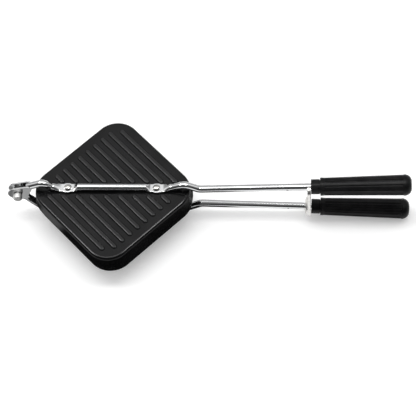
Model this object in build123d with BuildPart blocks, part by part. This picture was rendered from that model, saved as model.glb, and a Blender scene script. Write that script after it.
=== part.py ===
# Hinged pie iron: two ridged square trays on long tube arms that open about a pin behind
# the trays and are held shut by a swinging hook latch next to the handles.
# Millimetres. +X runs from the hinge to the handle tips, +Z is up, and the trays meet at z = 0.
# The origin is half way along the closed iron.
import math
import os
from build123d import *

os.makedirs("parts", exist_ok=True)

# Trays, set corner-on to the arms
tray_side = 140.0
tray_corner_r = 29.0
tray_depth = 15.2
tray_wall = 2.4
tray_draft = 9.0  # degrees
rim_land = 3.0
crown_r = 3.4
floor_r = 2.6
rim_gap = 0.3

# Ridges pressed out of each tray
rib_pitch = 11.0
rib_width = 5.8
rib_rise = 1.6
rib_taper = 32.0  # degrees
rib_crown_r = 1.5
rib_margin = 12.5
rib_count = 11
rib_shortest = 9.0
band_half = 7.3
groove_width = 2.6
groove_depth = 0.8

# Arms, bent from round tube
tube_r = 4.0
tube_wall = 1.0
pad_width = 12.0
pad_thick = 3.0
pad_inner_reach = 6.6  # from the rivet to each end of the flat
pad_outer_reach = 7.4
pad_end_width = 10.2
pad_shoulder_r = 2.0
pad_edge_r = 1.1
pad_inner_blend = 4.6
pad_outer_blend = 7.2
pad_inset = 38.5  # from the tray's corner back to the pad's rivet
arm_gap_half = 16.2  # height of the tube where the long straight run starts
arm_spread = 2.8  # degrees, of each straight run away from the joint plane
front_hump_inset = 7.5
front_hump_rise = 6.5
front_heel_reach = 7.5
front_lead = 2.6
front_bends = (8.0, 9.0, 10.0)
rear_hump_inset = 13.0
rear_hump_rise = 9.8
rear_lead = 3.2
rear_bends = (6.0, 6.5)
neck_reach = 128.8  # from the tray's corner to the handle's front face
stop_reach = 103.5  # from the tray's corner to the pinched stop
stop_r = 1.4
stop_rise = 0.6

# Hinge
pin_reach = 17.8  # from the tray's corner back to the pin
pin_height = 10.0
pin_r = 2.4
pin_head_r = 4.8
pin_head_rise = 5.6
pin_head_edge_r = 1.6
pin_collar_r = 3.5
pin_collar_rise = 1.0
pin_tail_r = 4.2
pin_tail_rise = 1.8
pin_tail_edge_r = 1.2
pin_washer_r = 5.2
pin_washer_thick = 0.8
cheek_r = 11.0
cheek_thick = 1.4
cheek_root_r = 4.3
root_reach = 5.2  # from the tray's corner back to the end of the upper tube
root_height = 20.8
tongue_thick = 4.8
tongue_eye_r = 6.2
tongue_width = 11.2
tongue_flat = 11.5
tongue_blend = 8.0
heel_inset = 1.5
heel_depth = 22.0
heel_bend = 12.0

# Rivets that hold the arms to the trays
rivet_r = 2.0
rivet_head_r = 4.2
rivet_head_rise = 2.3
rivet_tail_r = 3.4
rivet_tail_rise = 1.0
rivet_washer_r = 5.2
rivet_washer_thick = 0.8

# Latch
latch_thick = 1.2
latch_flange = 2.0
latch_flange_wall = 1.3
latch_foot_r = 11.0
latch_hook_r = 7.8
hook_lip = 0.5
hook_room_above = 0.5
hook_room_below = 2.2
latch_rest_swing = 6.5  # degrees from the closed position, towards -Y
washer_r = 10.8
washer_thick = 1.1
washer_dish = 1.7

# Handles
neck_r = 8.1
neck_length = 9.8
collar_r = 9.8
collar_length = 3.6
collar_edge_r = 0.8
relief_width = 0.8
relief_depth = 0.9
grip_front_r = 9.6
grip_back_r = 11.1
grip_length = 87.4
bead_length = 3.0
bead_rise = 0.35
tip_length = 5.8
tip_flat_r = 4.7
flute_count = 12
flute_r = 1.4
flute_depth = 0.9
flute_start = 1.6
flute_stop = 3.4
grip_wall = 7.0
screw_r = 1.9
screw_head_r = 3.5
screw_head_rise = 2.2
screw_slot = 0.9
screw_recess_r = 4.3
screw_recess_depth = 5.0
screw_reach = 10.0
plug_length = 14.0

# Round forms, as shares of a radius and a rise at the middle of the curve
tip_out = 0.84
tip_up = 0.60
dish_in = 0.72

# Clearances, each measured on the radius or on one side
fit = 0.03
running = 0.06
side_air = 0.3

# Places along the iron, measured from the middle of the trays
corner_reach = tray_side / math.sqrt(2) - tray_corner_r * (math.sqrt(2) - 1)
rivet_x = corner_reach - pad_inset
pin_x = -(corner_reach + pin_reach)
neck_x = corner_reach + neck_reach
stop_x = corner_reach + stop_reach
spread_sin = math.sin(math.radians(arm_spread))
spread_cos = math.cos(math.radians(arm_spread))
spread_tan = math.tan(math.radians(arm_spread))
handle_length = neck_length + collar_length + grip_length + tip_length
tray_x = (cheek_r - pin_x - neck_x - handle_length * spread_cos) / 2

tray_top = rim_gap / 2 + tray_depth
tube_z = tray_top + tube_r
pad_z = tray_top + pad_thick / 2
heel_x = corner_reach + front_heel_reach

# Vertical planes along the iron, with y up for the upper arm and down for the lower arm
upper_side = Plane((tray_x, 0, 0), x_dir=(1, 0, 0), z_dir=(0, -1, 0))
lower_side = Plane((tray_x, 0, 0), x_dir=(1, 0, 0), z_dir=(0, 1, 0))


def run_height(x):
    # Height of a tube's centre on its long straight run
    return arm_gap_half + (x - heel_x) * spread_tan


def station(side, x, height):
    # Plane across the iron at x, with its own x along +Y
    return Plane(side.from_local_coords((x, height, 0)), x_dir=(0, 1, 0), z_dir=(1, 0, 0))


def rivet_seat(side, place, height):
    # Plane facing away from the trays at this height over the joint plane
    origin = side.from_local_coords((place, height, 0))
    return Plane(origin, x_dir=(1, 0, 0), z_dir=side.y_dir)


def export(piece, name):
    piece.part.label = name
    export_step(piece.part, f"parts/{name}.step")


# Trays ------------------------------------------------------------------------------------

def rib_span(across):
    # Where a line at this distance from the left side enters and leaves the ribbed area
    inner_r = tray_corner_r - rib_margin
    past = max(0.0, abs(across - tray_side / 2) - (tray_side / 2 - tray_corner_r))
    cut = tray_corner_r - math.sqrt(max(0.0, inner_r**2 - past**2))
    return cut, tray_side - cut


def rib_runs():
    # Place and length of each rib in the tray's own square, clear of the band under the arm
    runs = []
    band = band_half * math.sqrt(2)
    for i in range(rib_count):
        across = tray_side / 2 + (i - (rib_count - 1) / 2) * rib_pitch
        first, last = rib_span(across)
        for start, stop in ((first, across - band), (across + band, last)):
            if stop - start > rib_shortest:
                middle = (across - tray_side / 2, tray_side / 2 - (start + stop) / 2)
                runs.append((middle, stop - start))
    return runs


# The tray's own square is turned so that a corner points along the iron
tray_turn = Plane((tray_x, 0, 0), x_dir=(1, 1, 0), z_dir=(0, 0, 1))

with BuildPart() as ribs:
    with BuildSketch(tray_turn.offset(tray_top)):
        for middle, length in rib_runs():
            with Locations(middle):
                SlotOverall(length, rib_width, rotation=90)
    extrude(amount=rib_rise, taper=rib_taper)
    fillet(ribs.faces().group_by(Axis.Z)[-1].edges(), radius=rib_crown_r)

with BuildPart() as upper_plate:
    with BuildSketch(tray_turn.offset(rim_gap / 2)):
        RectangleRounded(tray_side, tray_side, tray_corner_r)
    extrude(amount=tray_depth, taper=tray_draft)
    fillet(upper_plate.faces().sort_by(Axis.Z)[-1].edges(), radius=crown_r)
    with BuildSketch(tray_turn.offset(rim_gap / 2)):
        RectangleRounded(
            tray_side - 2 * rim_land, tray_side - 2 * rim_land, tray_corner_r - rim_land
        )
    extrude(amount=tray_depth - tray_wall, taper=tray_draft, mode=Mode.SUBTRACT)
    cavity_floor = upper_plate.faces().filter_by(GeomType.PLANE).sort_by(Axis.Z)[-2]
    fillet(cavity_floor.outer_wire().edges(), radius=floor_r)
    add(ribs.part)
    with BuildSketch(tray_turn.offset(tray_top - tray_wall)):
        for middle, length in rib_runs():
            with Locations(middle):
                SlotOverall(length - rib_width + groove_width, groove_width, rotation=90)
    extrude(amount=groove_depth, mode=Mode.SUBTRACT)
    with BuildSketch(tray_turn.offset(tray_top)):
        with Locations((rivet_x / math.sqrt(2), -rivet_x / math.sqrt(2)),
                       (-rivet_x / math.sqrt(2), rivet_x / math.sqrt(2))):
            Circle(rivet_r + fit)
    extrude(amount=-tray_depth, mode=Mode.SUBTRACT)

with BuildPart() as lower_plate:
    mirror(upper_plate.part, about=Plane.XY)


# Arms -------------------------------------------------------------------------------------


def tube_run(side, corners, radii):
    # Solid round bar along a bent path in the arm's vertical plane
    with BuildPart() as run:
        with BuildLine(side) as path:
            FilletPolyline(*corners, radius=radii)
        with BuildSketch(Plane(path.line @ 0, z_dir=path.line % 0)):
            Circle(tube_r)
        sweep(path=path.line)
    return run.part


def pad(side, outward):
    # Flattened length of tube at a rivet, blended into round tube at both ends
    middle = outward * rivet_x
    ends = (
        (middle - outward * pad_inner_reach, -outward, pad_inner_blend),
        (middle + outward * pad_outer_reach, outward, pad_outer_blend),
    )
    with BuildPart() as flat:
        with BuildSketch(rivet_seat(side, 0, tray_top)) as footprint:
            for place, away, _ in ends:
                with Locations((place - away * pad_width / 2, 0)):
                    Circle(pad_width / 2)
            make_hull()
            with Locations(((ends[0][0] + ends[1][0]) / 2, 0)):
                Rectangle(pad_inner_reach + pad_outer_reach, pad_end_width)
            corners = footprint.vertices().group_by(Axis.X)
            fillet(corners[1] + corners[-2], radius=pad_shoulder_r)
        extrude(amount=pad_thick)
        outline = flat.edges().filter_by(Plane.XY) - flat.edges().filter_by(Axis.Y)
        fillet(outline, radius=pad_edge_r)
        for place, away, blend in ends:
            with BuildSketch(station(side, place, pad_z)):
                RectangleRounded(pad_end_width, pad_thick, pad_edge_r)
            with BuildSketch(station(side, place + away * blend, tube_z)):
                Circle(tube_r)
            loft()
    return flat.part


def front_corners():
    # From the front pad over the tray's edge, down to the heel and out to the handle's plug
    start = rivet_x + pad_outer_reach + pad_outer_blend
    hump_x = corner_reach - front_hump_inset
    end_x = neck_x + tube_length * spread_cos
    return (
        (start, tube_z),
        (start + front_lead, tube_z),
        (hump_x, tube_z + front_hump_rise),
        (heel_x, arm_gap_half),
        (end_x, run_height(end_x)),
    )


def rear_corners():
    # From the rear pad over the tray's edge, as far as the top of the hump
    start = -(rivet_x + pad_outer_reach + pad_outer_blend)
    hump = (-(corner_reach - rear_hump_inset), tube_z + rear_hump_rise)
    return (start, tube_z), (start - rear_lead, tube_z), hump


def arm_body(side):
    # What both arms share: pads, the tube between them and the long run to the handle
    reach = rivet_x - pad_inner_reach - pad_inner_blend
    bore_axis = handle_plane(side).offset(tube_length)
    with BuildPart() as body:
        add(pad(side, 1))
        add(pad(side, -1))
        with BuildSketch(station(side, -reach, tube_z)):
            Circle(tube_r)
        extrude(amount=2 * reach)
        add(tube_run(side, front_corners(), front_bends))
        for across in (-1, 1):
            with Locations(side.from_local_coords((stop_x, run_height(stop_x), across * stop_out))):
                Sphere(stop_r)
        with BuildSketch(bore_axis):
            Circle(tube_r - tube_wall)
        extrude(amount=-bore_length, mode=Mode.SUBTRACT)
        for place in (rivet_x, -rivet_x):
            with BuildSketch(Plane.XY):
                with Locations((tray_x + place, 0)):
                    Circle(rivet_r + fit)
            extrude(amount=pad_z + pad_thick, both=True, mode=Mode.SUBTRACT)
    return body.part


def handle_plane(side):
    # Plane across the tube at the handle's front face, facing the handle's tip
    front = side.from_local_coords((neck_x, run_height(neck_x), 0))
    tip_side = side.from_local_coords((neck_x + spread_cos, run_height(neck_x) + spread_sin, 0))
    return Plane(front, x_dir=(0, 1, 0), z_dir=tip_side - front)


stop_out = tube_r + stop_rise - stop_r
tube_length = handle_length - screw_recess_depth - grip_wall
bore_length = tube_length + (neck_x - heel_x) / spread_cos - front_bends[-1]
cheek_out = tongue_thick / 2 + side_air + cheek_thick
pin_point = (pin_x, pin_height)
root_point = (-(corner_reach + root_reach), root_height)

with BuildPart() as upper_arm:
    add(arm_body(upper_side))
    add(tube_run(upper_side, (*rear_corners(), root_point), rear_bends))
    for start in (cheek_out - cheek_thick, -cheek_out):
        with BuildSketch(upper_side.offset(start)):
            with Locations(pin_point):
                Circle(cheek_r)
            with Locations(root_point):
                Circle(cheek_root_r)
            make_hull()
        extrude(amount=cheek_thick)
    with BuildSketch(upper_side):
        with Locations(pin_point):
            Circle(pin_r + fit)
    extrude(amount=cheek_out, both=True, mode=Mode.SUBTRACT)

# The lower tube climbs from its heel to the pin, ending in a flat tongue between the cheeks
lower_pin = (pin_x, -pin_height)
heel = (-(corner_reach - heel_inset), heel_depth)
climb = Vector(heel) - Vector(lower_pin)
climb_dir = climb.normalized()


def along_climb(distance):
    point = Vector(lower_pin) + climb_dir * distance
    return point.X, point.Y


def climb_plane(distance):
    # Plane across the climbing tube at this distance from the pin
    origin = lower_side.from_local_coords((*along_climb(distance), 0))
    outward = lower_side.from_local_coords((*along_climb(distance + 1), 0)) - origin
    return Plane(origin, x_dir=(0, 1, 0), z_dir=outward)


with BuildPart() as lower_arm:
    add(arm_body(lower_side))
    climb_end = along_climb(tongue_flat + tongue_blend)
    add(tube_run(lower_side, (*rear_corners(), heel, climb_end), (*rear_bends, heel_bend)))
    with BuildSketch(climb_plane(tongue_flat + tongue_blend)):
        Circle(tube_r)
    with BuildSketch(climb_plane(tongue_flat)):
        SlotOverall(tongue_width, tongue_thick, rotation=90)
    loft()
    with BuildSketch(lower_side.offset(-tongue_thick / 2)):
        with Locations(lower_pin):
            Circle(tongue_eye_r)
        with Locations(along_climb(tongue_flat - tongue_thick / 4)):
            Circle(tongue_width / 2)
        make_hull()
    extrude(amount=tongue_thick)
    with BuildSketch(lower_side):
        with Locations(lower_pin):
            Circle(pin_r + running)
    extrude(amount=tongue_thick, both=True, mode=Mode.SUBTRACT)


# Rivets and washers -----------------------------------------------------------------------


def round_rivet(seat, grip):
    # Shank through this grip with a round head on the seat plane and a formed tail behind it
    with BuildPart() as pin:
        with BuildSketch(Plane(seat.origin, x_dir=seat.x_dir, z_dir=-seat.y_dir)):
            with BuildLine():
                Line((0, rivet_head_rise), (0, -grip - rivet_tail_rise))
                TangentArc((0, -grip - rivet_tail_rise), (rivet_tail_r, -grip), tangent=(1, 0))
                Polyline((rivet_tail_r, -grip), (rivet_r, -grip), (rivet_r, 0), (rivet_head_r, 0))
                TangentArc((0, rivet_head_rise), (rivet_head_r, 0), tangent=(1, 0))
            make_face()
        revolve(axis=Axis(seat.origin, seat.z_dir))
    return pin.part


def ring(seat, outer_r, bore_r, thick):
    # Flat washer standing on the seat plane
    with BuildPart() as washer:
        with BuildSketch(seat):
            Circle(outer_r)
            Circle(bore_r, mode=Mode.SUBTRACT)
        extrude(amount=thick)
    return washer.part


rivet_grip = pad_thick + tray_wall + rivet_washer_thick
for side, level in ((upper_side, "upper"), (lower_side, "lower")):
    for place, end in ((rivet_x, "front"), (-rivet_x, "rear")):
        with BuildPart() as rivet:
            add(round_rivet(rivet_seat(side, place, tray_top + pad_thick), rivet_grip))
        export(rivet, f"{level}_{end}_rivet")
        with BuildPart() as washer:
            inside = rivet_seat(side, place, tray_top - tray_wall - rivet_washer_thick)
            add(ring(inside, rivet_washer_r, rivet_r + fit, rivet_washer_thick))
        export(washer, f"{level}_{end}_rivet_washer")

# Hinge pin: its thick head stands on a collar towards -Y and its tail is formed over a washer
pin_seat = Plane(
    upper_side.from_local_coords((*pin_point, cheek_out)), x_dir=(1, 0, 0), z_dir=upper_side.z_dir
)

washer_seat = pin_seat.offset(-2 * cheek_out - pin_washer_thick)

with BuildPart() as hinge_pin:
    with BuildSketch(pin_seat.offset(pin_collar_rise)):
        Circle(pin_head_r)
    extrude(amount=pin_head_rise)
    fillet(hinge_pin.faces().sort_by(Axis.Y)[0].edges(), radius=pin_head_edge_r)
    with BuildSketch(washer_seat):
        Circle(pin_tail_r)
    extrude(amount=-pin_tail_rise)
    fillet(hinge_pin.faces().sort_by(Axis.Y)[-1].edges(), radius=pin_tail_edge_r)
    with BuildSketch(pin_seat):
        Circle(pin_collar_r)
    extrude(amount=pin_collar_rise)
    with BuildSketch(pin_seat):
        Circle(pin_r)
    extrude(amount=-(2 * cheek_out + pin_washer_thick))

with BuildPart() as hinge_washer:
    add(ring(washer_seat, pin_washer_r, pin_r + fit, pin_washer_thick))


# Latch ------------------------------------------------------------------------------------

# The latch turns about the lower tube, and stands upright across both tubes when it is shut
latch_depth = latch_flange + latch_thick
latch_x = neck_x - side_air - neck_r * spread_tan - latch_depth
tube_spacing = 2 * run_height(latch_x)
latch_base = lower_side.from_local_coords((latch_x, run_height(latch_x), 0))
lower_tube = handle_plane(lower_side)
swing_axis = Axis(latch_base, lower_tube.z_dir)
latch_plane = Plane(
    latch_base,
    x_dir=Vector(0, 1, 0).rotate(swing_axis, latch_rest_swing),
    z_dir=Vector(1, 0, 0).rotate(swing_axis, latch_rest_swing),
)
hook_bottom = tube_spacing - tube_r - hook_room_below
hook_top = tube_spacing + tube_r + hook_room_above
hook_end_r = tube_r + hook_room_above


def latch_outline(inset):
    # Foot round the lower tube and hook round the upper one, joined by straight sides
    with BuildSketch() as outline:
        Circle(latch_foot_r - inset)
        with Locations((0, tube_spacing)):
            Circle(latch_hook_r - inset)
        make_hull()
    return outline.sketch


with BuildPart() as latch:
    with BuildSketch(latch_plane):
        add(latch_outline(0))
    extrude(amount=latch_thick)
    with BuildSketch(latch_plane.offset(latch_thick)):
        add(latch_outline(0))
        add(latch_outline(latch_flange_wall), mode=Mode.SUBTRACT)
    extrude(amount=latch_flange)
    with BuildSketch(lower_tube):
        Circle(tube_r + running)
    extrude(amount=-2 * (neck_x - latch_x), mode=Mode.SUBTRACT)
    with BuildSketch(latch_plane):
        with Locations((0, (hook_bottom + hook_top) / 2)):
            SlotOverall(hook_top - hook_bottom, 2 * hook_end_r, rotation=90)
        with Locations((latch_foot_r, (hook_bottom + hook_top) / 2)):
            Rectangle(2 * latch_foot_r, hook_top - hook_bottom)
        with Locations((hook_lip, hook_top - hook_end_r)):
            Rectangle(latch_foot_r, 2 * latch_hook_r, align=(Align.MIN, Align.MIN))
    extrude(amount=latch_depth, mode=Mode.SUBTRACT)

# Dished washer that carries the latch along the lower tube
washer_back = lower_tube.offset(latch_x - neck_x - side_air - washer_r * spread_tan)
washer_bore_r = tube_r + running
with BuildPart() as latch_washer:
    with BuildSketch(Plane(washer_back.origin, x_dir=washer_back.x_dir, z_dir=-washer_back.y_dir)):
        with BuildLine():
            bow_r = (washer_r + washer_bore_r) / 2
            for face in (0, -washer_thick):
                ThreePointArc(
                    (washer_r, face),
                    (bow_r, face - washer_dish * dish_in),
                    (washer_bore_r, face - washer_dish),
                )
            Line((washer_r, 0), (washer_r, -washer_thick))
            Line((washer_bore_r, -washer_dish), (washer_bore_r, -washer_dish - washer_thick))
        make_face()
    revolve(axis=Axis(washer_back.origin, washer_back.z_dir))


# Handles ----------------------------------------------------------------------------------

front = handle_plane(upper_side)
front_section = Plane(front.origin, x_dir=front.x_dir, z_dir=-front.y_dir)
front_axis = Axis(front.origin, front.z_dir)
grip_start = neck_length + collar_length
grip_end = grip_start + grip_length
recess_floor = handle_length - screw_recess_depth
grip_taper = (grip_back_r - grip_front_r) / grip_length

# One cutter for the flutes, laid along the grip's taper
flute_length = grip_length - flute_start - flute_stop
flute_foot = grip_front_r + grip_taper * flute_start + flute_r - flute_depth
flute_head = flute_foot + grip_taper * flute_length
foot_point = front_section.from_local_coords((flute_foot, grip_start + flute_start, 0))
head_point = front_section.from_local_coords((flute_head, grip_end - flute_stop, 0))
with BuildPart() as flute:
    with BuildSketch(Plane(foot_point, z_dir=head_point - foot_point)):
        Circle(flute_r)
    extrude(amount=flute_length)

with BuildPart() as upper_handle:
    with BuildSketch(front_section):
        with BuildLine():
            Polyline(
                (tip_flat_r, handle_length),
                (screw_recess_r, handle_length),
                (screw_recess_r, recess_floor),
                (screw_r + side_air, recess_floor),
                (screw_r + side_air, tube_length),
                (tube_r + fit, tube_length),
                (tube_r + fit, 0),
                (neck_r, 0),
                (neck_r, neck_length - relief_width),
                (neck_r - relief_depth, neck_length - relief_width),
                (neck_r - relief_depth, neck_length),
                (collar_r, neck_length),
                (collar_r, grip_start - collar_edge_r),
                (grip_front_r, grip_start),
                (grip_back_r, grip_end - bead_length),
            )
            ThreePointArc(
                (grip_back_r, grip_end - bead_length),
                (grip_back_r + bead_rise, grip_end - bead_length / 2),
                (grip_back_r, grip_end),
            )
            ThreePointArc(
                (grip_back_r, grip_end),
                (grip_back_r * tip_out, grip_end + tip_length * tip_up),
                (tip_flat_r, handle_length),
            )
        make_face()
    revolve(axis=front_axis)
    turns = [i * 360 / flute_count for i in range(flute_count)]
    add([flute.part.rotate(front_axis, turn) for turn in turns], mode=Mode.SUBTRACT)

with BuildPart() as lower_handle:
    mirror(upper_handle.part, about=Plane.XY)

# Screw from the tip of each handle into a plug in the end of its tube
screw_seat = front.offset(recess_floor)
with BuildPart() as upper_handle_screw:
    with BuildSketch(screw_seat):
        Circle(screw_head_r)
    extrude(amount=screw_head_rise)
    with BuildSketch(screw_seat):
        Circle(screw_r)
    extrude(amount=-(grip_wall + screw_reach))
    with BuildSketch(screw_seat.offset(screw_head_rise)):
        Rectangle(2 * screw_head_r, screw_slot)
    extrude(amount=-screw_head_rise / 2, mode=Mode.SUBTRACT)

with BuildPart() as lower_handle_screw:
    mirror(upper_handle_screw.part, about=Plane.XY)

with BuildPart() as upper_tube_plug:
    add(ring(front.offset(tube_length - plug_length), tube_r - tube_wall - fit, screw_r + fit,
             plug_length))

with BuildPart() as lower_tube_plug:
    mirror(upper_tube_plug.part, about=Plane.XY)


# Files ------------------------------------------------------------------------------------

pieces = {
    "upper_plate": upper_plate,
    "lower_plate": lower_plate,
    "upper_arm": upper_arm,
    "lower_arm": lower_arm,
    "hinge_pin": hinge_pin,
    "hinge_washer": hinge_washer,
    "latch": latch,
    "latch_washer": latch_washer,
    "upper_handle": upper_handle,
    "lower_handle": lower_handle,
    "upper_handle_screw": upper_handle_screw,
    "lower_handle_screw": lower_handle_screw,
    "upper_tube_plug": upper_tube_plug,
    "lower_tube_plug": lower_tube_plug,
}
for name, piece in pieces.items():
    export(piece, name)
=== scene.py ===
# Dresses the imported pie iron: camera, studio, coated trays, chromed arms, steel latch and fluted grips.
import math
import bpy
from mathutils import Matrix, Vector


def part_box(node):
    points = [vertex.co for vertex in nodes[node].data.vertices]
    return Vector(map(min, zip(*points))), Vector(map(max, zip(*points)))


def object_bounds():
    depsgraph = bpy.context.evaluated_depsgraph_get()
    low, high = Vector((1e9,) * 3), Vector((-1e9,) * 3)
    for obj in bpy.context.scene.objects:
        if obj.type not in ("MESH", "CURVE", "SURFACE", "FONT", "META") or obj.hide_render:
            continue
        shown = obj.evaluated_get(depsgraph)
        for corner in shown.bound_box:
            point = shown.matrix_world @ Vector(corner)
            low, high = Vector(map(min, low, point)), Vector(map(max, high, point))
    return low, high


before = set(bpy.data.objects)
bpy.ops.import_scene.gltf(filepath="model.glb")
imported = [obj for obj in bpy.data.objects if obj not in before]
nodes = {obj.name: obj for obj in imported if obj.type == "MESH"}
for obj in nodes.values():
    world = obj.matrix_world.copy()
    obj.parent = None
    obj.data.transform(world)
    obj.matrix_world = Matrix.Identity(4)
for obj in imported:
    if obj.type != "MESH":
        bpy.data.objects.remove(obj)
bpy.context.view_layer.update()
print("frame loaded:", len(nodes), "nodes")


# small helpers for shader trees

def addNode(tree, kind, place=(0, 0), **settings):
    node = tree.nodes.new(kind)
    node.location = place
    for key, value in settings.items():
        setattr(node, key, value)
    return node


def setInputs(node, **values):
    # underscores stand for the spaces in a socket's name
    for key, value in values.items():
        node.inputs[key.replace("_", " ")].default_value = value
    return node


def newGroup(name, inputs, outputs):
    # shader node group; inputs are given as (name, type, default) and outputs as (name, type)
    tree = bpy.data.node_groups.new(name, "ShaderNodeTree")
    for label, kind, default in inputs:
        socket = tree.interface.new_socket(name=label, in_out="INPUT", socket_type="NodeSocket" + kind)
        socket.default_value = default
    for label, kind in outputs:
        tree.interface.new_socket(name=label, in_out="OUTPUT", socket_type="NodeSocket" + kind)
    start = addNode(tree, "NodeGroupInput", (-900, 0))
    end = addNode(tree, "NodeGroupOutput", (700, 0))
    return tree, start, end


def mathNode(tree, operation, a, b=None, place=(0, 0)):
    node = addNode(tree, "ShaderNodeMath", place, operation=operation)
    for index, value in enumerate((a, b)):
        if value is None:
            continue
        if isinstance(value, (int, float)):
            node.inputs[index].default_value = value
        else:
            tree.links.new(value, node.inputs[index])
    return node.outputs[0]


def useGroup(tree, group, place, **values):
    node = addNode(tree, "ShaderNodeGroup", place)
    node.node_tree = group
    for key, value in values.items():
        node.inputs[key.replace("_", " ")].default_value = value
    return node


# effects that several finishes share

grainEffect = {
    "fineDetail": 3.0,
    "fineRoughness": 0.6,
    "coarseDetail": 2.0,
    "coarseRoughness": 0.5,
    "coarseShare": 0.23,  # coarse noise's scale as a share of the fine one's
}


def makeGrainGroup():
    # fine pebbled grain: two noises of different size, added and centred on zero
    tree, start, end = newGroup("FineGrain", [("Scale", "Float", 900.0)], [("Height", "Float")])
    coords = addNode(tree, "ShaderNodeTexCoord", (-900, 300))
    fine = setInputs(addNode(tree, "ShaderNodeTexNoise", (-600, 200)),
                     Detail=grainEffect["fineDetail"], Roughness=grainEffect["fineRoughness"])
    coarse = setInputs(addNode(tree, "ShaderNodeTexNoise", (-600, -100)),
                       Detail=grainEffect["coarseDetail"], Roughness=grainEffect["coarseRoughness"])
    for noise in (fine, coarse):
        tree.links.new(coords.outputs["Object"], noise.inputs["Vector"])
    tree.links.new(start.outputs["Scale"], fine.inputs["Scale"])
    wide = mathNode(tree, "MULTIPLY", start.outputs["Scale"], grainEffect["coarseShare"], (-760, -100))
    tree.links.new(wide, coarse.inputs["Scale"])
    both = mathNode(tree, "ADD", fine.outputs["Fac"], coarse.outputs["Fac"], (-300, 100))
    tree.links.new(mathNode(tree, "SUBTRACT", both, 1.0, (-100, 100)), end.inputs["Height"])
    return tree


smudgeEffect = {
    "detail": 5.0,
    "roughness": 0.65,
    "distortion": 0.6,
    "spread": (0.32, 0.68),  # noise range that is drawn out between Low and High
    "patches": (0.40, 0.62),  # noise range over which one colour gives way to the other
}


def makeSmudgeGroup():
    # slow cloudy patches between two values, for handling marks and uneven gloss
    tree, start, end = newGroup(
        "Smudge", [("Scale", "Float", 30.0), ("Low", "Float", 0.1), ("High", "Float", 0.2)],
        [("Value", "Float"), ("Mask", "Float")])
    coords = addNode(tree, "ShaderNodeTexCoord", (-900, 300))
    cloud = setInputs(addNode(tree, "ShaderNodeTexNoise", (-600, 200)), Detail=smudgeEffect["detail"],
                      Roughness=smudgeEffect["roughness"], Distortion=smudgeEffect["distortion"])
    tree.links.new(coords.outputs["Object"], cloud.inputs["Vector"])
    tree.links.new(start.outputs["Scale"], cloud.inputs["Scale"])
    low, high = smudgeEffect["spread"]
    spread = setInputs(addNode(tree, "ShaderNodeMapRange", (-300, 200)), From_Min=low, From_Max=high)
    tree.links.new(cloud.outputs["Fac"], spread.inputs["Value"])
    tree.links.new(start.outputs["Low"], spread.inputs["To Min"])
    tree.links.new(start.outputs["High"], spread.inputs["To Max"])
    low, high = smudgeEffect["patches"]
    mask = setInputs(addNode(tree, "ShaderNodeMapRange", (-300, -100)), From_Min=low, From_Max=high)
    tree.links.new(cloud.outputs["Fac"], mask.inputs["Value"])
    tree.links.new(spread.outputs["Result"], end.inputs["Value"])
    tree.links.new(mask.outputs["Result"], end.inputs["Mask"])
    return tree


streakEffect = {
    "detail": 4.0,
    "roughness": 0.7,
}


def makeStreakGroup():
    # noise drawn out along X into fine lines, as left by drawing or brushing
    tree, start, end = newGroup("DrawnLines", [("Across", "Float", 2500.0), ("Along", "Float", 40.0)],
                                [("Height", "Float")])
    coords = addNode(tree, "ShaderNodeTexCoord", (-900, 300))
    scale = addNode(tree, "ShaderNodeCombineXYZ", (-700, 0))
    tree.links.new(start.outputs["Along"], scale.inputs["X"])
    tree.links.new(start.outputs["Across"], scale.inputs["Y"])
    tree.links.new(start.outputs["Across"], scale.inputs["Z"])
    stretch = addNode(tree, "ShaderNodeVectorMath", (-500, 200), operation="MULTIPLY")
    tree.links.new(coords.outputs["Object"], stretch.inputs[0])
    tree.links.new(scale.outputs[0], stretch.inputs[1])
    lines = setInputs(addNode(tree, "ShaderNodeTexNoise", (-250, 200)), Scale=1.0,
                      Detail=streakEffect["detail"], Roughness=streakEffect["roughness"])
    tree.links.new(stretch.outputs[0], lines.inputs["Vector"])
    tree.links.new(mathNode(tree, "SUBTRACT", lines.outputs["Fac"], 0.5, (0, 200)), end.inputs["Height"])
    return tree


fineGrain = makeGrainGroup()
smudge = makeSmudgeGroup()
drawnLines = makeStreakGroup()
print("shared effects built")


# finishes

def newFinish(name):
    material = bpy.data.materials.new(name)
    material.use_nodes = True
    tree = material.node_tree
    shader = tree.nodes["Principled BSDF"]
    return material, tree, shader


colourMix = {"factor": 0, "from": 6, "to": 7, "result": 2}  # where a colour Mix node has its sockets


def mixColours(tree, factor, start, end, place):
    # start and end are each a colour or another node's output
    mix = addNode(tree, "ShaderNodeMix", place, data_type="RGBA")
    tree.links.new(factor, mix.inputs[colourMix["factor"]])
    for index, value in ((colourMix["from"], start), (colourMix["to"], end)):
        if isinstance(value, tuple):
            mix.inputs[index].default_value = (*value, 1)
        else:
            tree.links.new(value, mix.inputs[index])
    return mix.outputs[colourMix["result"]]


def addBump(tree, shader, height, strength, distance):
    bump = setInputs(addNode(tree, "ShaderNodeBump", (200, -300)), Strength=strength, Distance=distance)
    tree.links.new(height, bump.inputs["Height"])
    tree.links.new(bump.outputs["Normal"], shader.inputs["Normal"])


coatingLook = {
    "dark": (0.0028, 0.0028, 0.0031),
    "light": (0.0060, 0.0060, 0.0064),
    # painted highlight colour for the rib crowns, also standing for rub wear
    "crownWearAndHighlight": (0.0180, 0.0180, 0.0185),
    "crownHighlightStart": 0.0014,  # depth below a rib's crown at which the painted highlight and rub wear begin
    "crownHighlightFull": 0.0002,  # and at which they are complete
    "grainScale": 2400.0,
    "grainStrength": 0.5,
    "grainDepth": 0.000012,
    "smudgeScale": 38.0,
    "glossLow": 0.17,
    "glossHigh": 0.23,
    "specular": 0.21,
}


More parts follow.
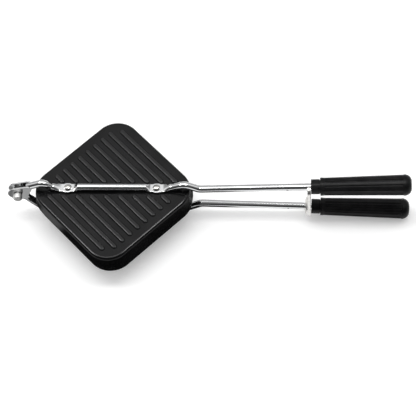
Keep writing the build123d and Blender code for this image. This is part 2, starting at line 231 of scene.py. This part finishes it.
def makeCoating():
    # dark satin non-stick coat with a fine pebble, slightly uneven gloss, and rib crowns painted paler as
    # highlight and rub wear
    look = coatingLook
    material, tree, shader = newFinish("NonStickCoat")
    grain = useGroup(tree, fineGrain, (-600, -200), Scale=look["grainScale"])
    cloud = useGroup(tree, smudge, (-600, 200), Scale=look["smudgeScale"],
                     Low=look["glossLow"], High=look["glossHigh"])
    coat = mixColours(tree, cloud.outputs["Mask"], look["dark"], look["light"], (-300, 300))
    # painted highlight: rib crowns, the outermost skin of each tray, made paler towards the crown height,
    # also standing for the rubbing they take first
    coords = addNode(tree, "ShaderNodeTexCoord", (-1100, 600))
    split = addNode(tree, "ShaderNodeSeparateXYZ", (-900, 600))
    tree.links.new(coords.outputs["Object"], split.inputs[0])
    height = mathNode(tree, "ABSOLUTE", split.outputs["Z"], None, (-700, 600))
    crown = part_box("upper_plate")[1][2]
    crownHighlightMask = setInputs(addNode(tree, "ShaderNodeMapRange", (-500, 600)),
                    From_Min=crown - look["crownHighlightStart"], From_Max=crown - look["crownHighlightFull"])
    tree.links.new(height, crownHighlightMask.inputs["Value"])
    coatWithCrownHighlight = mixColours(tree, crownHighlightMask.outputs["Result"], coat, look["crownWearAndHighlight"], (-100, 400))
    tree.links.new(coatWithCrownHighlight, shader.inputs["Base Color"])
    tree.links.new(cloud.outputs["Value"], shader.inputs["Roughness"])
    addBump(tree, shader, grain.outputs["Height"], look["grainStrength"], look["grainDepth"])
    setInputs(shader, Specular_IOR_Level=look["specular"])
    return material


chromeLook = {
    "colour": (0.66, 0.665, 0.67),
    "shade": (0.60, 0.605, 0.61),
    "glossLow": 0.05,
    "glossHigh": 0.10,
    "smudgeScale": 55.0,
    "lineAcross": 1800.0,
    "lineAlong": 25.0,
    "lineStrength": 0.12,
    "lineDepth": 0.00004,
}


def makeChrome():
    # bright plating with faint drawn lines and soft handling marks
    look = chromeLook
    material, tree, shader = newFinish("ChromePlate")
    lines = useGroup(tree, drawnLines, (-600, -200), Across=look["lineAcross"], Along=look["lineAlong"])
    cloud = useGroup(tree, smudge, (-600, 200), Scale=look["smudgeScale"],
                     Low=look["glossLow"], High=look["glossHigh"])
    tree.links.new(mixColours(tree, cloud.outputs["Mask"], look["shade"], look["colour"], (-300, 300)),
                   shader.inputs["Base Color"])
    tree.links.new(cloud.outputs["Value"], shader.inputs["Roughness"])
    addBump(tree, shader, lines.outputs["Height"], look["lineStrength"], look["lineDepth"])
    setInputs(shader, Metallic=1.0)
    return material


steelLook = {
    "colour": (0.62, 0.61, 0.595),
    "shade": (0.50, 0.49, 0.475),
    "glossLow": 0.24,
    "glossHigh": 0.38,
    "smudgeScale": 160.0,
    "lineAcross": 1200.0,
    "lineAlong": 300.0,
    "lineStrength": 0.35,
    "lineDepth": 0.00008,
}

rivetLook = {**steelLook, "glossLow": 0.18, "glossHigh": 0.28, "lineAcross": 900.0, "lineAlong": 900.0}

pinLook = {
    **rivetLook,
    "colour": (0.66, 0.66, 0.65),
    "shade": (0.52, 0.52, 0.51),
    "glossLow": 0.48,
    "glossHigh": 0.60,
}

latchLook = {
    **steelLook,
    "colour": (0.76, 0.75, 0.73),
    "shade": (0.62, 0.61, 0.59),
    "glossLow": 0.24,
    "glossHigh": 0.36,
    "lineAcross": 1500.0,
    "lineAlong": 60.0,
}


def makeSteel(name, look):
    # plain plated steel, softer than chrome, with drawn lines
    material, tree, shader = newFinish(name)
    lines = useGroup(tree, drawnLines, (-600, -200), Across=look["lineAcross"], Along=look["lineAlong"])
    cloud = useGroup(tree, smudge, (-600, 200), Scale=look["smudgeScale"],
                     Low=look["glossLow"], High=look["glossHigh"])
    tree.links.new(mixColours(tree, cloud.outputs["Mask"], look["shade"], look["colour"], (-300, 300)),
                   shader.inputs["Base Color"])
    tree.links.new(cloud.outputs["Value"], shader.inputs["Roughness"])
    addBump(tree, shader, lines.outputs["Height"], look["lineStrength"], look["lineDepth"])
    setInputs(shader, Metallic=1.0)
    return material


gripLook = {
    "dark": (0.0055, 0.0055, 0.0060),
    "light": (0.0105, 0.0105, 0.0110),
    "glossLow": 0.30,
    "glossHigh": 0.38,
    "specular": 0.10,
    "smudgeScale": 70.0,
    "grainScale": 2200.0,
    "grainStrength": 0.35,
    "grainDepth": 0.00003,
}


def makeGrip():
    # moulded phenolic: near black, semi-gloss, with a very fine mould texture
    look = gripLook
    material, tree, shader = newFinish("PhenolicGrip")
    grain = useGroup(tree, fineGrain, (-600, -200), Scale=look["grainScale"])
    cloud = useGroup(tree, smudge, (-600, 200), Scale=look["smudgeScale"],
                     Low=look["glossLow"], High=look["glossHigh"])
    tree.links.new(mixColours(tree, cloud.outputs["Mask"], look["dark"], look["light"], (-300, 300)),
                   shader.inputs["Base Color"])
    tree.links.new(cloud.outputs["Value"], shader.inputs["Roughness"])
    addBump(tree, shader, grain.outputs["Height"], look["grainStrength"], look["grainDepth"])
    setInputs(shader, Specular_IOR_Level=look["specular"])
    return material


coating = makeCoating()
chrome = makeChrome()
rivetSteel = makeSteel("RivetSteel", rivetLook)
pinSteel = makeSteel("PinSteel", pinLook)
washerSteel = makeSteel("WasherSteel", steelLook)
latchSteel = makeSteel("LatchSteel", latchLook)
grip = makeGrip()

rivets = [f"{side}_{end}_rivet" for side in ("upper", "lower") for end in ("front", "rear")]
finishes = {
    coating: ["upper_plate", "lower_plate"],
    chrome: ["upper_arm", "lower_arm"],
    pinSteel: ["hinge_pin"],
    rivetSteel: rivets,
    washerSteel: ["hinge_washer", "upper_handle_screw", "lower_handle_screw",
                  "upper_tube_plug", "lower_tube_plug"] + [f"{rivet}_washer" for rivet in rivets],
    latchSteel: ["latch", "latch_washer"],
    grip: ["upper_handle", "lower_handle"],
}
for material, names in finishes.items():
    for name in names:
        for slot in nodes[name].material_slots:
            slot.material = material
print("finishes assigned")


# the studio: floor, surround, lamps and camera

studio = {
    # lengths in metres
    "floorReach": 6.0,
    "floorDrop": 0.0004,  # how far the floor lies below the iron
    "floorLevel": 0.86,
    "floorRoughness": 0.9,
    "floorLift": 0.24,  # light added to the floor near the iron
    "horizonLift": 0.80,  # and far from it, to the camera alone
    "horizonInner": 0.55,
    "horizonOuter": 1.80,
    "paintedShadeLevel": 0.02,  # brightness of the painted shade, a dark disc under the trays
    "paintedShadeShift": (0.0, -0.030),
    "paintedShadeInner": 0.118,
    "paintedShadeOuter": 0.150,
    "hingeLighterPatch": 0.42,  # painted lighter patch in the painted shade below the hinge, for its reflection: share of the way from the disc's level to the floor's
    "hingeInner": 0.012,
    "hingeOuter": 0.026,
}


def farFrom(tree, centre, inner, outer, row):
    # 0 within the inner radius of a point on the floor, 1 beyond the outer one, smooth between;
    # row only places the nodes in the editor
    coords = addNode(tree, "ShaderNodeTexCoord", (-1300, row))
    offset = addNode(tree, "ShaderNodeVectorMath", (-1100, row), operation="SUBTRACT")
    offset.inputs[1].default_value = centre
    tree.links.new(coords.outputs["Object"], offset.inputs[0])
    away = addNode(tree, "ShaderNodeVectorMath", (-900, row), operation="LENGTH")
    tree.links.new(offset.outputs[0], away.inputs[0])
    step = setInputs(addNode(tree, "ShaderNodeMapRange", (-700, row), interpolation_type="SMOOTHSTEP"),
                     From_Min=inner, From_Max=outer)
    tree.links.new(away.outputs["Value"], step.inputs["Value"])
    return step.outputs["Result"]


def shiftedFoot(name, low):
    # the floor point below a node's middle, moved by the painted shade disc's shift
    middle = [(a + b) / 2 for a, b in zip(*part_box(name))]
    return [a + shift for a, shift in zip(middle, studio["paintedShadeShift"])] + [low]


def makeFloor():
    # level pale floor that keeps the shadow; camera and mirror rays see it lifted towards white
    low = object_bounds()[0][2] - studio["floorDrop"]
    reach = studio["floorReach"]
    mesh = bpy.data.meshes.new("floor")
    corners = [(-reach, -reach, low), (reach, -reach, low), (reach, reach, low), (-reach, reach, low)]
    mesh.from_pydata(corners, [], [(0, 1, 2, 3)])
    floor = bpy.data.objects.new("floor", mesh)
    bpy.context.scene.collection.objects.link(floor)
    material, tree, shader = newFinish("FloorPaper")
    setInputs(shader, Roughness=studio["floorRoughness"], Specular_IOR_Level=0.0)
    rays = addNode(tree, "ShaderNodeLightPath", (-900, 0))
    camera = rays.outputs["Is Camera Ray"]

    # to all rays but the camera's: painted shade, a dark disc under the trays, with a grey patch below the
    # hinge
    # painted shade: the floor is dark to reflections and bounce light within the disc
    outsidePaintedShade = farFrom(tree, shiftedFoot("lower_plate", low), studio["paintedShadeInner"], studio["paintedShadeOuter"], 300)
    # painted reflection source: the shade is lighter below the hinge so its metal mirrors grey
    patch = farFrom(tree, shiftedFoot("hinge_pin", low), studio["hingeInner"], studio["hingeOuter"], 600)
    patch = mathNode(tree, "SUBTRACT", 1.0, patch, (-500, 600))
    patch = mathNode(tree, "MULTIPLY", patch, studio["hingeLighterPatch"], (-350, 600))
    shown = mathNode(tree, "MAXIMUM", outsidePaintedShade, patch, (-500, 450))
    shown = mathNode(tree, "MAXIMUM", shown, camera, (-450, 300))
    level = setInputs(addNode(tree, "ShaderNodeMapRange", (-300, 300)),
                      To_Min=studio["paintedShadeLevel"], To_Max=studio["floorLevel"])
    tree.links.new(shown, level.inputs["Value"])
    tree.links.new(level.outputs["Result"], shader.inputs["Base Color"])

    # the lift: the camera sees it everywhere and stronger far off, mirror and transmission rays
    # only outside the painted shade disc and patch
    seen = mathNode(tree, "ADD", camera, rays.outputs["Is Glossy Ray"], (-700, 0))
    seen = mathNode(tree, "ADD", seen, rays.outputs["Is Transmission Ray"], (-500, 0))
    seen = mathNode(tree, "MINIMUM", seen, 1.0, (-300, 0))
    seen = mathNode(tree, "MULTIPLY", seen, shown, (-150, 0))
    distant = farFrom(tree, [0.0, 0.0, low], studio["horizonInner"], studio["horizonOuter"], 900)
    distant = mathNode(tree, "MULTIPLY", distant, camera, (-600, 900))
    rise = mathNode(tree, "MULTIPLY", distant, studio["horizonLift"] - studio["floorLift"], (-500, 900))
    lift = mathNode(tree, "ADD", rise, studio["floorLift"], (-350, 900))
    setInputs(shader, Emission_Color=(1, 1, 1, 1))
    tree.links.new(mathNode(tree, "MULTIPLY", seen, lift, (0, 0)), shader.inputs["Emission Strength"])
    mesh.materials.append(material)


surround = {
    # angle from the front horizon over the top to the back horizon, in degrees, and brightness there
    "steps": [(0, 0.05), (30, 0.06), (52, 0.12), (74, 0.30), (90, 0.70),
              (108, 1.15), (122, 1.12), (140, 0.74), (160, 0.44), (180, 0.34)],
    "backdrop": 1.0,  # what the camera sees behind everything
}


def makeSurround():
    # world: white to the camera; to all other rays a studio that is dark in front, brightest
    # a little behind the top, and dimmer again towards the back
    world = bpy.data.worlds.new("Studio")
    bpy.context.scene.world = world
    world.use_nodes = True
    tree = world.node_tree
    background = tree.nodes["Background"]
    coords = addNode(tree, "ShaderNodeTexCoord", (-1200, 0))
    split = addNode(tree, "ShaderNodeSeparateXYZ", (-1000, 0))
    tree.links.new(coords.outputs["Generated"], split.inputs[0])
    forward = mathNode(tree, "MULTIPLY", split.outputs["Y"], -1.0, (-850, -100))
    turn = mathNode(tree, "ARCTAN2", split.outputs["Z"], forward, (-700, 0))
    share = mathNode(tree, "DIVIDE", turn, math.pi, (-550, 0))
    ramp = addNode(tree, "ShaderNodeValToRGB", (-350, 0))
    steps = surround["steps"]
    bands = ramp.color_ramp.elements
    while len(bands) < len(steps):
        bands.new(0.5)  # moved to its place below
    for band, (angle, level) in zip(bands, steps):
        band.position = angle / 180  # share of the half turn from front to back
        band.color = (level, level, level, 1)
    tree.links.new(share, ramp.inputs["Fac"])
    rays = addNode(tree, "ShaderNodeLightPath", (-350, 300))
    white = (surround["backdrop"],) * 3
    seen = mixColours(tree, rays.outputs["Is Camera Ray"], ramp.outputs["Color"], white, (0, 100))
    tree.links.new(seen, background.inputs["Color"])


lamps = {
    # a wide soft light that reflections don't see, a strip overhead, and two panels that only they see
    "overhead": {
        "place": (-0.10, -0.55, 1.40), "aim": (-0.10, 0.0, 0.0),
        "size": (2.8, 2.8), "power": 13.0, "mirrored": False, "lighting": True,
    },
    "strip": {
        "place": (-0.10, 0.08, 1.25), "aim": (-0.10, 0.0, 0.0),
        "size": (1.1, 0.20), "power": 6.5, "mirrored": True, "lighting": True,
    },
    "edgeLeft": {
        "place": (-0.82, 0.07, 1.25), "aim": (-0.16, -0.04, 0.0),
        "size": (0.36, 0.30), "power": 9.0, "mirrored": True, "lighting": False,
    },
    "edgeRight": {
        "place": (0.40, 0.03, 1.25), "aim": (-0.03, -0.05, 0.0),
        "size": (0.28, 0.30), "power": 7.0, "mirrored": True, "lighting": False,
    },
}


def makeLamp(name, place, aim, size, power, mirrored, lighting):
    light = bpy.data.lights.new(name, "AREA")
    light.shape = "RECTANGLE"
    light.size, light.size_y = size
    light.energy = power
    lamp = bpy.data.objects.new(name, light)
    lamp.location = place
    lamp.rotation_euler = (Vector(aim) - Vector(place)).to_track_quat("-Z", "Y").to_euler()
    lamp.visible_glossy = mirrored
    lamp.visible_diffuse = lighting
    bpy.context.scene.collection.objects.link(lamp)


lens = {
    "aim": (0.000684, -0.01464, 0.0),
    "elevation": 61.99,
    "azimuth": 10.19,
    "roll": -8.73,
    "distance": 1.52083,
    "focalPixels": 1400.0,
    "imageSide": 416.0,
    "sensor": 36.0,
    "farClip": 50.0,
}


def makeCamera():
    # camera on a sphere about the aim point, then rolled about its own line of sight
    up, around, roll = (math.radians(lens[key]) for key in ("elevation", "azimuth", "roll"))
    back = Vector((math.sin(around) * math.cos(up), -math.cos(around) * math.cos(up), math.sin(up)))
    right = (-back).cross(Vector((0, 0, 1))).normalized()
    over = right.cross(-back)
    camRight = math.cos(roll) * right + math.sin(roll) * over
    camUp = -math.sin(roll) * right + math.cos(roll) * over
    data = bpy.data.cameras.new("viewer")
    data.sensor_width = lens["sensor"]
    data.lens = lens["focalPixels"] / lens["imageSide"] * lens["sensor"]
    data.clip_end = lens["farClip"]
    camera = bpy.data.objects.new("viewer", data)
    turn = Matrix((camRight, camUp, back)).transposed().to_4x4()
    camera.matrix_world = Matrix.Translation(Vector(lens["aim"]) + back * lens["distance"]) @ turn
    bpy.context.scene.collection.objects.link(camera)
    bpy.context.scene.camera = camera


makeFloor()
makeSurround()
for name, lamp in lamps.items():
    makeLamp(name, **lamp)
makeCamera()
bpy.context.scene.view_settings.view_transform = "Standard"
print("studio and camera set")
